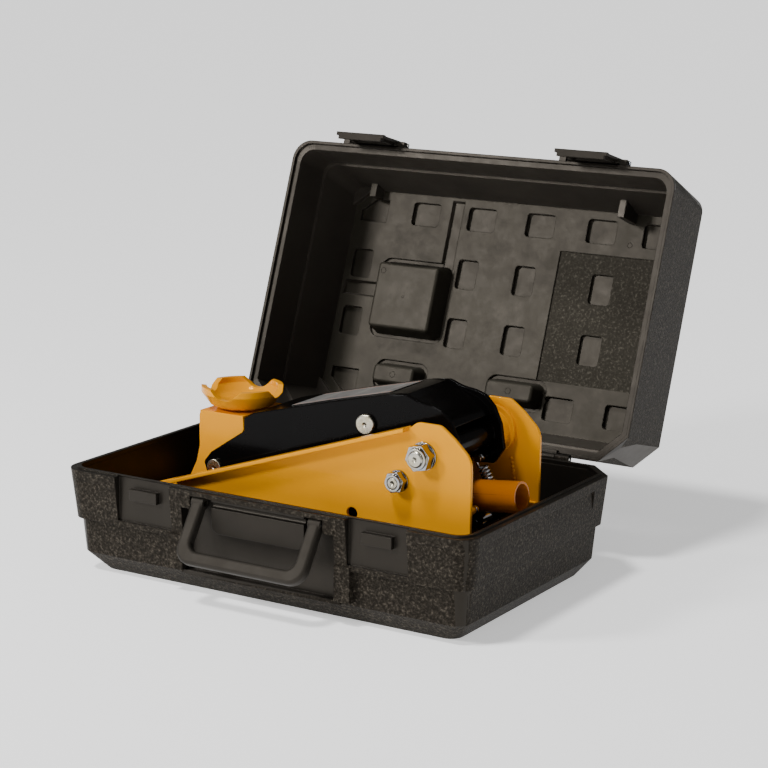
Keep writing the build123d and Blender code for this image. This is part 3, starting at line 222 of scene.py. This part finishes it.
def label_material():
    """Printed film: grey ground, plain bars and a dotted border. No characters."""
    s = Shader("label_film")
    along = s.axis("X")
    across = s.maths("SUBTRACT", s.axis("Y"), YC)
    # Rows of short grey bars
    rows = s.maths("FRACT", s.maths("MULTIPLY", across, 230.0))
    bar = s.maths("LESS_THAN", rows, 0.42)
    blocks = s.maths("LESS_THAN", s.maths("FRACT", s.maths("MULTIPLY", along, 26.0)), 0.86)
    ink = s.maths("MULTIPLY", bar, blocks)
    inside = s.maths("LESS_THAN", s.maths("ABSOLUTE", across), 0.022)
    ink = s.maths("MULTIPLY", ink, inside)
    ground = s.ramp(s.noise(30.0, 3.0), ((0.3, (0.21, 0.20, 0.19)), (0.7, (0.30, 0.29, 0.275))))
    mix = s.tree.nodes.new("ShaderNodeMix")
    mix.data_type = "RGBA"
    s.put(mix.inputs[0], ink)
    s.put(mix.inputs[6], ground)
    mix.inputs[7].default_value = (0.06, 0.06, 0.06, 1)
    # Dotted orange line next to the near and far edges
    from_line = s.maths("SUBTRACT", s.maths("ABSOLUTE", across), 0.0275)
    edge = s.maths("LESS_THAN", s.maths("ABSOLUTE", from_line), 0.0011)
    dots = s.maths("LESS_THAN", s.maths("FRACT", s.maths("MULTIPLY", along, 330.0)), 0.55)
    trim = s.tree.nodes.new("ShaderNodeMix")
    trim.data_type = "RGBA"
    s.put(trim.inputs[0], s.maths("MULTIPLY", edge, dots))
    s.put(trim.inputs[6], mix.outputs[2])
    trim.inputs[7].default_value = (0.55, 0.16, 0.03, 1)
    s.set(Base_Color=trim.outputs[2], Roughness=0.32)
    s.bump((s.noise(160.0, 2.0), 0.00005, 0.3),)
    return s.mat


LABEL = label_material()


def pin_head(name, at):
    """Turned pin with a centre dimple and tool rings on its end faces."""
    s = Shader(name)
    dx = s.maths("SUBTRACT", s.axis("X"), at[0])
    dz = s.maths("SUBTRACT", s.axis("Z"), at[1])
    radius = s.maths("SQRT", s.maths("ADD", s.maths("MULTIPLY", dx, dx), s.maths("MULTIPLY", dz, dz)))
    dimple = s.remap(radius, 0.0006, 0.0026, 0.0, 1.0)
    rings = s.maths("SINE", s.maths("MULTIPLY", radius, 5200.0))
    tints = ((0.3, (0.40, 0.36, 0.25)), (0.5, (0.47, 0.44, 0.36)), (0.7, (0.38, 0.37, 0.34)))
    s.set(Base_Color=s.ramp(s.noise(110.0, 4.0), tints), Metallic=1.0)
    s.set(Roughness=s.remap(s.noise(380.0, 3.0), 0.3, 0.7, 0.2, 0.38))
    s.bump((dimple, 0.0012, 0.9), (rings, 0.00003, 0.4))
    return s.mat


BY_SLOT = {
    "case_plastic": GRAIN, "yellow_paint": YELLOW, "black_paint": BLACK, "zinc_steel": ZINC,
    "hard_steel": CHROME, "spring_steel": SPRING, "wheel_steel": WHEEL, "grip_rubber": RUBBER,
    "label_film": LABEL,
}
slots = {s["node"]: s["material_slot"] for s in frame["record"]["subparts"]}
for name, node in NODES.items():
    node.data.materials.clear()
    node.data.materials.append(BY_SLOT[slots[name]])
for name, at in (("front_pin", B), ("ram_pin", P), ("link_pin", D), ("main_shaft", A), ("link_anchors", C)):
    NODES[name].data.materials[0] = pin_head(name + "_steel", at)


# ------------------------------------------------------------------ case: grain and polish
# Hold-down blocks of the lid: X limits, station limits and height
LID_BLOCKS = (
    (-0.156, -0.066, 0.119, 0.205, 0.022),
    (-0.138, -0.076, 0.057, 0.086, 0.018),
    (0.010, 0.078, 0.057, 0.086, 0.018),
)


def paint_socket_and_painted_shade():
    """Orange tube with the yoke under it painted black as painted shade, for the shade that falls under the
    tube.
    """
    mesh = NODES["handle_socket"].data
    mesh.materials[0] = SOCKET
    mesh.materials.append(BLACK)
    start = Vector((0.220, YC, 0.1162))
    along = Vector((math.cos(math.radians(6.3)), 0, math.sin(math.radians(6.3))))
    # Faces off the tube's surface, the yoke, get black paint: painted shade under the tube.
    for face in mesh.polygons:
        rel = face.center - start
        if (rel - along * rel.dot(along)).length > 0.0163:
            face.material_index = 1


def paint_case():
    """Choose the finish of each face of the tray, lid, latches and handle from where the face is.

    The test goes by position, so some of the outer chamfer and corner faces get a smooth finish too. The
    lid's inner walls get a lighter copy of the smooth plastic, which is painted light on walls that the
    lamps barely reach.
    """
    base = NODES["case_base"].data
    base.materials.append(SMOOTH)
    for face in base.polygons:
        c = face.center
        n = face.normal
        reach = 0.2235 + 0.108 * max(c.z, 0.02)
        outside = abs(c.x) > reach or abs(c.y) > reach - 0.0824 or n.z < -0.3
        recess = c.y < -0.13 and abs(c.x) < 0.0905 and c.y > -0.1535 and c.z > 0.022
        latch = c.y < -0.14 and abs(abs(c.x) - 0.138) < 0.0345 and c.z > 0.0615 and c.y > -0.1562
        rim = n.z > 0.7 and c.z > 0.1
        face.material_index = 0 if outside and not (recess or latch or rim) else 1
    lid = NODES["case_lid"].data
    # The fifth extra material is the lighter inner-wall plastic, which is painted light.
    for extra in (SMOOTH, PANEL, FIELD, POCKET, WALL_PAINTED_LIGHT):
        lid.materials.append(extra)
    for face in lid.polygons:
        rel = face.center - HINGE
        depth = rel.dot(LID_OUT)
        station = rel.dot(LID_UP)
        x = face.center.x
        facing = face.normal.dot(LID_OUT)
        inner = abs(x) < 0.2325 and 0.009 < station < 0.310 and depth < 0.1142
        if not inner:
            face.material_index = 1 if depth < 0.005 else 0
        elif facing < -0.8 and 0.067 < x < 0.187 and 0.090 < station < 0.238 and 0.109 < depth < 0.1112:
            face.material_index = 3
        elif any(x0 <= x <= x1 and s0 <= station <= s1 for x0, x1, s0, s1, rise in LID_BLOCKS):
            face.material_index = 2
        # Inner walls take the lighter wall plastic (index 5), which is painted light.
        elif depth < 0.1035 and x < -0.187 and not 0.064 < station < 0.260:
            face.material_index = 5
        elif depth > 0.1105:
            face.material_index = 4
        elif depth > 0.1 and facing < -0.5:
            face.material_index = 2
        elif facing < -0.8 and 0.08 < depth:
            face.material_index = 2
        else:
            face.material_index = 5 if depth > 0.005 else 1
    for name in ("carry_handle", "latch_left", "latch_right"):
        NODES[name].data.materials[0] = HANDLE


paint_case()
paint_socket_and_painted_shade()


# ------------------------------------------------------------------ soft edges on the CAD parts
def soften(name, width, segments=2, angle=32.0, clamp=True):
    """Merge a CAD node's coplanar triangles and round its sharp edges; this only takes material away."""
    node = NODES[name]
    weld = node.modifiers.new("weld", "WELD")
    weld.merge_threshold = 0.00001
    flat = node.modifiers.new("flat", "DECIMATE")
    flat.decimate_type = "DISSOLVE"
    flat.angle_limit = math.radians(0.6)
    flat.delimit = {"MATERIAL"}
    bevel = node.modifiers.new("bevel", "BEVEL")
    bevel.width = width
    bevel.segments = segments
    bevel.limit_method = "ANGLE"
    bevel.angle_limit = math.radians(angle)
    bevel.use_clamp_overlap = clamp
    smooth_shade(node)


def smooth_shade(node):
    """Smooth shading in which the large faces stay flat."""
    for face in node.data.polygons:
        face.use_smooth = True
    weighted = node.modifiers.new("weighted", "WEIGHTED_NORMAL")
    weighted.mode = "FACE_AREA"
    weighted.weight = 100
    weighted.keep_sharp = False


for name, width in (
    ("side_plate_near", 0.0007), ("side_plate_far", 0.0007), ("lift_arm", 0.0007), ("saddle", 0.0010),
    ("saddle_bracket", 0.0009), ("handle_socket", 0.0006), ("pivot_rings", 0.0006), ("main_nuts", 0.0007),
    ("link_nuts", 0.0006), ("carry_handle", 0.0034), ("latch_left", 0.0007), ("latch_right", 0.0007),
    ("case_base", 0.0010), ("case_lid", 0.0012), ("ram_pin", 0.0006), ("front_pin", 0.0005),
    ("power_unit_block", 0.0012), ("reservoir", 0.0012), ("gland_nut", 0.0006), ("filler_plug", 0.0005),
    ("link_near", 0.0005), ("link_far", 0.0005), ("rear_cross_plate", 0.0006), ("block_bolts", 0.0004),
    ("front_wheel_near", 0.0008), ("front_wheel_far", 0.0008), ("caster_fork_near", 0.0005),
    ("caster_fork_far", 0.0005), ("caster_wheel_near", 0.0006), ("caster_wheel_far", 0.0006),
):
    soften(name, width, clamp=name not in ("side_plate_near", "side_plate_far", "lift_arm"))


# ------------------------------------------------------------------ helpers for the added pieces
def new_object(name, bm, material):
    mesh = bpy.data.meshes.new(name)
    bm.to_mesh(mesh)
    bm.free()
    for face in mesh.polygons:
        face.use_smooth = True
    mesh.materials.append(material)
    obj = bpy.data.objects.new(name, mesh)
    bpy.context.scene.collection.objects.link(obj)
    return obj


def tube_along(points, radius, sides=10):
    """Swept round wire through a list of points."""
    bm = bmesh.new()
    rings = []
    normal = None
    for i, p in enumerate(points):
        ahead = points[min(i + 1, len(points) - 1)]
        behind = points[max(i - 1, 0)]
        tangent = (ahead - behind).normalized()
        if normal is None:
            normal = tangent.orthogonal().normalized()
        normal = (normal - tangent * normal.dot(tangent)).normalized()
        side = tangent.cross(normal)
        rings.append([
            bm.verts.new(p + (normal * math.cos(a) + side * math.sin(a)) * radius)
            for a in (2 * math.pi * k / sides for k in range(sides))
        ])
    for first, second in zip(rings, rings[1:]):
        for k in range(sides):
            bm.faces.new((first[k], first[(k + 1) % sides], second[(k + 1) % sides], second[k]))
    bm.faces.new(list(reversed(rings[0])))
    bm.faces.new(rings[-1])
    bmesh.ops.recalc_face_normals(bm, faces=bm.faces)
    return bm


def coil_points(start, end, radius, turns, per_turn=20, side=None):
    """Helix between two points."""
    axis = (end - start).normalized()
    u = (side or axis.orthogonal()).normalized()
    u = (u - axis * u.dot(axis)).normalized()
    v = axis.cross(u)
    count = int(turns * per_turn)
    out = []
    for i in range(count + 1):
        a = 2 * math.pi * turns * i / count
        out.append(start.lerp(end, i / count) + (u * math.cos(a) + v * math.sin(a)) * radius)
    return out


# ------------------------------------------------------------------ return springs
def return_spring(tag, y):
    """Close-wound extension spring with a hook at each end."""
    top = Vector((S[0], y, S[1]))
    low = Vector((T[0], y, T[1]))
    axis = (low - top).normalized()
    across = Vector((0, 1, 0)).cross(axis).normalized()
    wire = 0.0013
    points = []
    # Hook round the hanger, then the body of the spring, then the hook round the stud
    for i in range(15):
        a = math.radians(200 - 200 * i / 14)
        points.append(top + (across * math.cos(a) - axis * math.sin(a)) * 0.0037)
    body0 = top + axis * 0.0095
    body1 = low - axis * 0.0095
    points += coil_points(body0, body1, 0.0046, 7, 24, across)
    for i in range(15):
        a = math.radians(200 * i / 14)
        points.append(low + (across * math.cos(a) + axis * math.sin(a)) * 0.0037)
    obj = new_object("return_spring_" + tag, tube_along(points, wire, 8), SPRING)
    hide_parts("return_springs")
    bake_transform(obj)


return_spring("near", YC - SPRING_DY)
return_spring("far", YC + SPRING_DY)

coil_foot = Vector((PUMP[0], PUMP[1], 0.0759))
coil_head = Vector((PUMP[0], PUMP[1], 0.0793))
coil_wire = tube_along(coil_points(coil_foot, coil_head, 0.0065, 3, 24), 0.0007, 8)
pump_coil = new_object("pump_coil", coil_wire, SPRING)
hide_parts("pump_spring")
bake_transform(pump_coil)


# ------------------------------------------------------------------ threads on the bolt ends
def thread(name, at, radius, y0, y1, pitch, body):
    """Helical thread crest on a bolt end that runs along Y."""
    turns = abs(y1 - y0) / pitch
    pts = coil_points(Vector((at[0], y0, at[1])), Vector((at[0], y1, at[1])), radius, turns, 28)
    obj = new_object(name, tube_along(pts, pitch * 0.3, 6), ZINC)
    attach(obj, body)


for side, tag in ((-1, "near"), (1, "far")):
    thread(f"shaft_thread_{tag}", A, 0.0079, YC + side * 0.0868, YC + side * 0.0876, 0.0016, "chassis")
    thread(f"anchor_thread_{tag}", C, 0.0058, YC + side * 0.0795, YC + side * 0.0828, 0.0013, "chassis")


# ------------------------------------------------------------------ weld beads
def bead(name, start, end, width, body, material, count=None):
    """Row of overlapping weld ripples between two points."""
    bm = bmesh.new()
    length = (end - start).length
    count = count or max(3, int(length / (width * 0.55)))
    for i in range(count):
        centre = start.lerp(end, (i + 0.5) / count)
        wobble = 0.94 + 0.1 * math.sin(i * 2.4)
        bmesh.ops.create_icosphere(bm, subdivisions=2, radius=width / 2 * wobble,
                                   matrix=Matrix.Translation(centre))
    obj = new_object(name, bm, material)
    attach(obj, body)


for side, tag in ((-1, "near"), (1, "far")):
    inner = YC + side * 0.0667
    bead(f"cross_plate_weld_{tag}", Vector((0.153, inner, 0.0922)), Vector((0.200, inner, 0.0922)), 0.0030,
         "chassis", YELLOW)
    seam_y = inner + side * 0.0005
    bead(f"plate_weld_{tag}", Vector((0.176, seam_y, 0.108)), Vector((0.171, seam_y, 0.136)),
         0.0042, "chassis", YELLOW, 7)
    seam_y = YC + side * 0.0396
    bead(f"arm_top_weld_{tag}", Vector((-0.060, seam_y, 0.1675)), Vector((0.085, seam_y, 0.2038)),
         0.0026, "lift_arm", BLACK)

# ------------------------------------------------------------------ ejector marks on the lid's blocks
def lid_point(x, station, depth):
    """Point of the open lid from its own coordinates."""
    return HINGE + Vector((x, 0, 0)) + LID_UP * station + LID_OUT * depth


def lid_mark(name, x, station, depth, radius):
    """Thin raised ring round a small dot."""
    at = lid_point(x, station, depth)
    side = Vector((1, 0, 0))
    ring = [at + (side * math.cos(a) + LID_UP * math.sin(a)) * radius
            for a in (2 * math.pi * k / 28 for k in range(29))]
    obj = new_object(name, tube_along(ring, 0.0003, 6), PANEL)
    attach(obj, "lid")


for i, (x, station, depth, radius) in enumerate((
    (-0.111, 0.162, 0.0865, 0.0011), (-0.143, 0.190, 0.0865, 0.0032), (-0.107, 0.0715, 0.0905, 0.0034),
    (0.044, 0.0715, 0.0905, 0.0034), (0.150, 0.252, 0.1085, 0.0028), (0.080, 0.078, 0.1085, 0.0028),
)):
    lid_mark(f"lid_mark_{i}", x, station, depth, radius)

# ------------------------------------------------------------------ camera, light and floor
# The camera looks at this point from this distance
AIM = Vector((0.0356, 0.0221, 0.19785))
DISTANCE = 2.2718
LENS = 104.57
azimuth = math.radians(31.69)
elevation = math.radians(12.62)
roll = math.radians(0.58)
level = math.cos(elevation)
back = Vector((math.sin(azimuth) * level, -math.cos(azimuth) * level, math.sin(elevation)))
flat_right = Vector((math.cos(azimuth), math.sin(azimuth), 0))
flat_up = back.cross(flat_right)
right = flat_right * math.cos(roll) + flat_up * math.sin(roll)
up = flat_up * math.cos(roll) - flat_right * math.sin(roll)
camera_data = bpy.data.cameras.new("camera")
camera_data.lens = LENS
camera_data.sensor_width = 36.0
camera_data.clip_start = 0.05
camera = bpy.data.objects.new("camera", camera_data)
bpy.context.scene.collection.objects.link(camera)
place = AIM + back * DISTANCE
camera.matrix_world = Matrix((
    (right.x, up.x, back.x, place.x),
    (right.y, up.y, back.y, place.y),
    (right.z, up.z, back.z, place.z),
    (0, 0, 0, 1),
))
bpy.context.scene.camera = camera


def area_light(name, at, aim, width, height, power):
    """Rectangular softbox at one point, turned towards another."""
    data = bpy.data.lights.new(name, "AREA")
    data.shape = "RECTANGLE"
    data.size = width
    data.size_y = height
    data.energy = power
    lamp = bpy.data.objects.new(name, data)
    bpy.context.scene.collection.objects.link(lamp)
    lamp.location = at
    lamp.rotation_euler = (Vector(aim) - Vector(at)).to_track_quat("-Z", "Y").to_euler()


sun_data = bpy.data.lights.new("sun", "SUN")
sun_data.energy = 2.2
sun_data.angle = math.radians(9)
sun = bpy.data.objects.new("sun", sun_data)
bpy.context.scene.collection.objects.link(sun)
sun.rotation_euler = Vector((-0.16, -0.36, 0.92)).to_track_quat("Z", "Y").to_euler()
area_light("key", (-1.4, -2.0, 1.6), (0, -0.05, 0.1), 0.5, 0.5, 54)
area_light("side", (2.4, -0.4, 0.9), (0.1, 0, 0.15), 0.5, 0.9, 1.0)
area_light("low", (0.2, -2.7, 0.3), (0, 0, 0.05), 1.6, 0.5, 10)

world = bpy.data.worlds.new("studio")
world.use_nodes = True
world.node_tree.nodes["Background"].inputs["Color"].default_value = (1, 1, 1, 1)
world.node_tree.nodes["Background"].inputs["Strength"].default_value = 0.18
bpy.context.scene.world = world

floor_bm = bmesh.new()
bmesh.ops.create_grid(floor_bm, x_segments=1, y_segments=1, size=60.0)
floor_shader = Shader("floor_paper")
floor_shader.set(Base_Color=(0.95, 0.95, 0.95, 1), Roughness=0.95)
floor_shader.set(Emission_Color=(1, 1, 1, 1), Emission_Strength=0.6)
floor_shader.bump((floor_shader.noise(400.0, 2.0), 0.00002, 0.1),)
floor = new_object("floor", floor_bm, floor_shader.mat)
floor.location = (0, 0, -0.0002)
